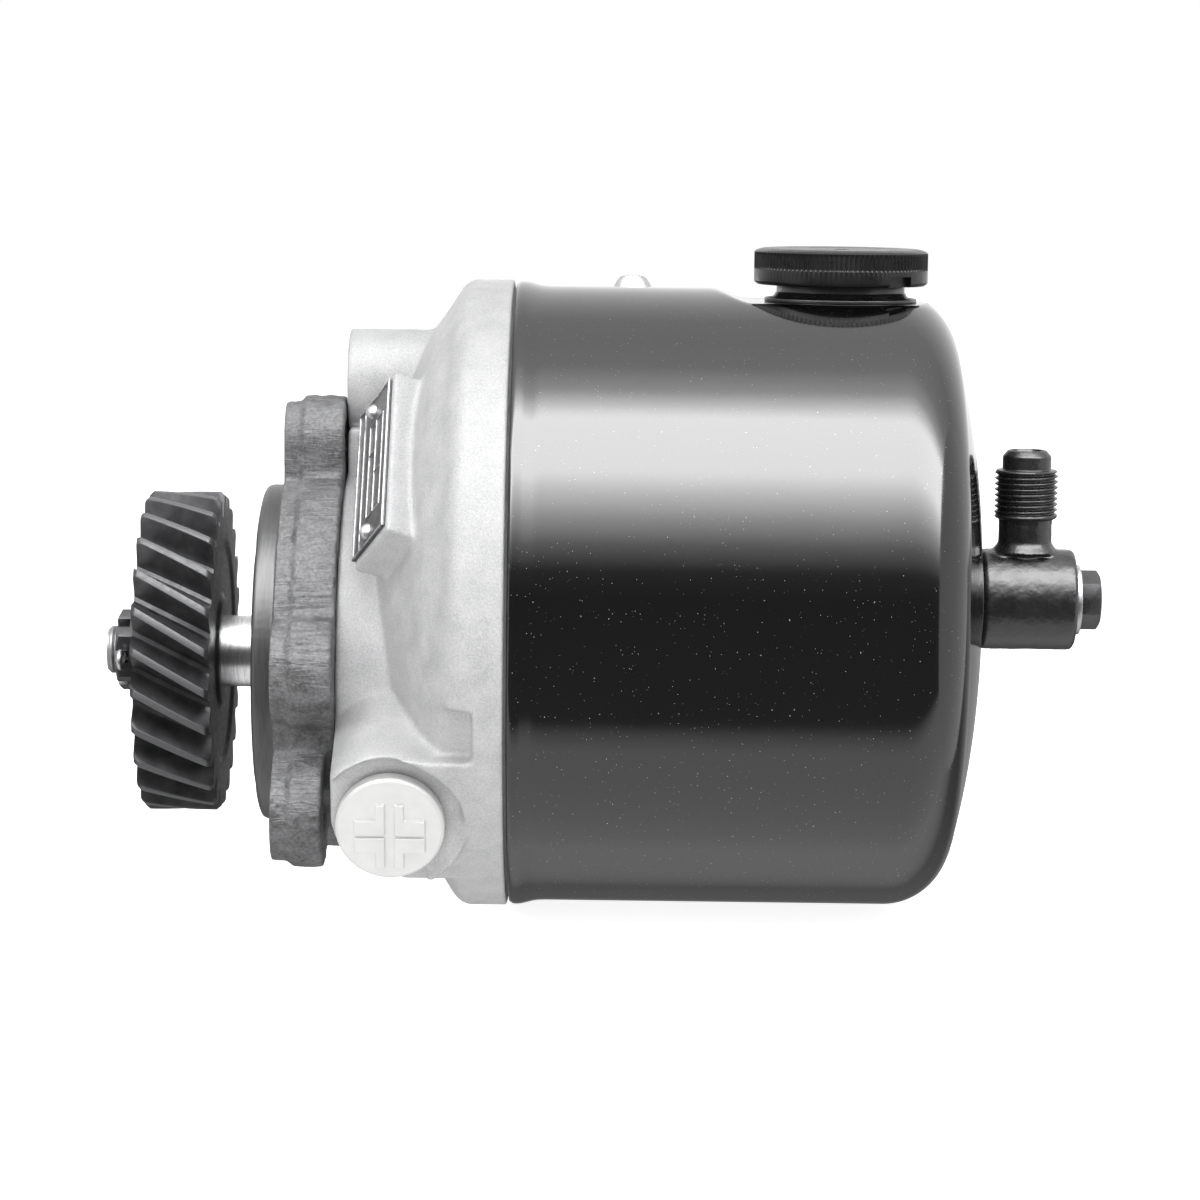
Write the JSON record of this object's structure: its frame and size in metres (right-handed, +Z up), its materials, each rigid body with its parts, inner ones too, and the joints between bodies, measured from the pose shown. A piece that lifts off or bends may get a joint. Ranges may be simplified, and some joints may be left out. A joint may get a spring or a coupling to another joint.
{
  "type": "hydraulic pump with reservoir",
  "caption": "Gear-driven power steering pump: cast bell and flange, round oil can with filler cap, banjo outlet, hose tail and plugged side port.",
  "frame": {"origin": "centre of the flange's mounting face, on the drive shaft's axis", "axes": "+X along the drive shaft into the reservoir, +Z up to the filler cap, -Y towards the nameplate and the plugged port"},
  "size_m": [0.2505, 0.1576, 0.1673],
  "materials": {
    "cast_aluminium": "as-cast, fine bead-blasted grain",
    "cast_iron": "as-cast with machined pilot and face",
    "gear_steel": "dark phosphate coat, ground tooth tips",
    "ground_steel": "ground bright",
    "dark_steel": "oiled dark finish",
    "zinc_steel": "zinc plated",
    "spring_steel": "oil tempered",
    "bearing_steel": "ground and polished",
    "cage_brass": "machined",
    "bush_bronze": "machined bronze",
    "black_paint": "gloss black stove enamel",
    "fitting_paint": "gloss black paint over a casting",
    "cap_plastic": "satin black moulding",
    "seal_rubber": "black nitrile rubber",
    "plug_plastic": "translucent white polyethylene",
    "plate_foil": "printed and stamped plate with plain fields",
    "filter_paper": "pleated resin-treated paper"
  },
  "bodies": {
    "pump_case": {"pump_housing": "cast_aluminium", "mounting_flange": "cast_iron", "flange_o_ring": "seal_rubber", "flange_bolts": "dark_steel", "bearing_outer_race": "bearing_steel", "bearing_snap_ring": "spring_steel", "seal_case": "dark_steel", "seal_lip": "seal_rubber", "seal_spring": "spring_steel", "front_bearing_block": "cast_aluminium", "gear_body": "cast_aluminium", "rear_cover": "cast_aluminium", "pump_bolts": "dark_steel", "dowel_pins": "ground_steel", "journal_bushes": "bush_bronze", "block_seals": "seal_rubber", "stand_tube": "ground_steel", "can_end_seal": "seal_rubber", "reservoir_can": "black_paint", "can_seal": "seal_rubber", "filler_neck": "black_paint", "return_nipple": "zinc_steel", "filter_circlip": "spring_steel", "filter_spring": "spring_steel", "outlet_spacer": "fitting_paint", "outlet_fitting": "fitting_paint", "bolt_washer": "zinc_steel", "outlet_bolt": "dark_steel", "valve_plug": "dark_steel", "valve_spring": "spring_steel", "nameplate": "plate_foil", "nameplate_screws": "zinc_steel"},
    "drive": {"drive_shaft": "ground_steel", "drive_gear": "gear_steel", "gear_key": "ground_steel", "gear_washer": "dark_steel", "gear_nut": "dark_steel", "cotter_pin": "zinc_steel", "shaft_circlip": "spring_steel", "bearing_inner_race": "bearing_steel", "pump_drive_gear": "ground_steel", "pump_gear_key": "ground_steel"},
    "idler": {"pump_idler_gear": "ground_steel", "idler_shaft": "ground_steel"},
    "ball_cage": {"bearing_cage": "cage_brass", "bearing_balls": "bearing_steel"},
    "cap_seal": {"cap_gasket": "seal_rubber", "cap_centre_plate": "zinc_steel"},
    "cap": {"filler_cap": "cap_plastic", "cap_rivet": "zinc_steel", "cap_locking_plate": "zinc_steel", "dipstick": "zinc_steel"},
    "spool": {"valve_spool": "ground_steel"},
    "filter": {"filter_element": "filter_paper", "filter_end_caps": "zinc_steel"},
    "plug": {"port_plug": "plug_plastic", "plug_seal": "seal_rubber"}
  },
  "joints": [
    {"name": "shaft_spin", "type": "hinge", "parent": "pump_case", "child": "drive", "pos_m": [0, 0, 0], "axis": [1, 0, 0], "continuous": true},
    {"name": "idler_spin", "type": "hinge", "parent": "pump_case", "child": "idler", "pos_m": [0, 0, 0.03175], "axis": [1, 0, 0], "continuous": true},
    {"name": "cage_spin", "type": "hinge", "parent": "pump_case", "child": "ball_cage", "pos_m": [0.0044, 0, 0], "axis": [1, 0, 0], "continuous": true},
    {"name": "cap_lift", "type": "slide", "parent": "pump_case", "child": "cap_seal", "axis": [0, 0, 1], "range_m": [0, 0.045]},
    {"name": "cap_turn", "type": "hinge", "parent": "cap_seal", "child": "cap", "pos_m": [0.1379, 0, 0.09767], "axis": [0, 0, 1], "range_deg": [-75, 0]},
    {"name": "spool_slide", "type": "slide", "parent": "pump_case", "child": "spool", "axis": [1, 0, 0], "range_m": [-0.003, 0], "stiffness_N_per_m": 900, "springref_m": 0.004, "deforming": ["valve_spring"]},
    {"name": "filter_bypass", "type": "slide", "parent": "pump_case", "child": "filter", "axis": [1, 0, 0], "range_m": [-0.004, 0], "stiffness_N_per_m": 600, "springref_m": 0.006, "deforming": ["filter_spring"]},
    {"name": "plug_pull", "type": "slide", "parent": "pump_case", "child": "plug", "axis": [0, -0.9659, -0.2588], "range_m": [0, 0.018]}
  ],
  "couplings": [
    {"joint": "idler_spin", "follows": "shaft_spin", "ratio": -1},
    {"joint": "cage_spin", "follows": "shaft_spin", "ratio": 0.3815}
  ]
}
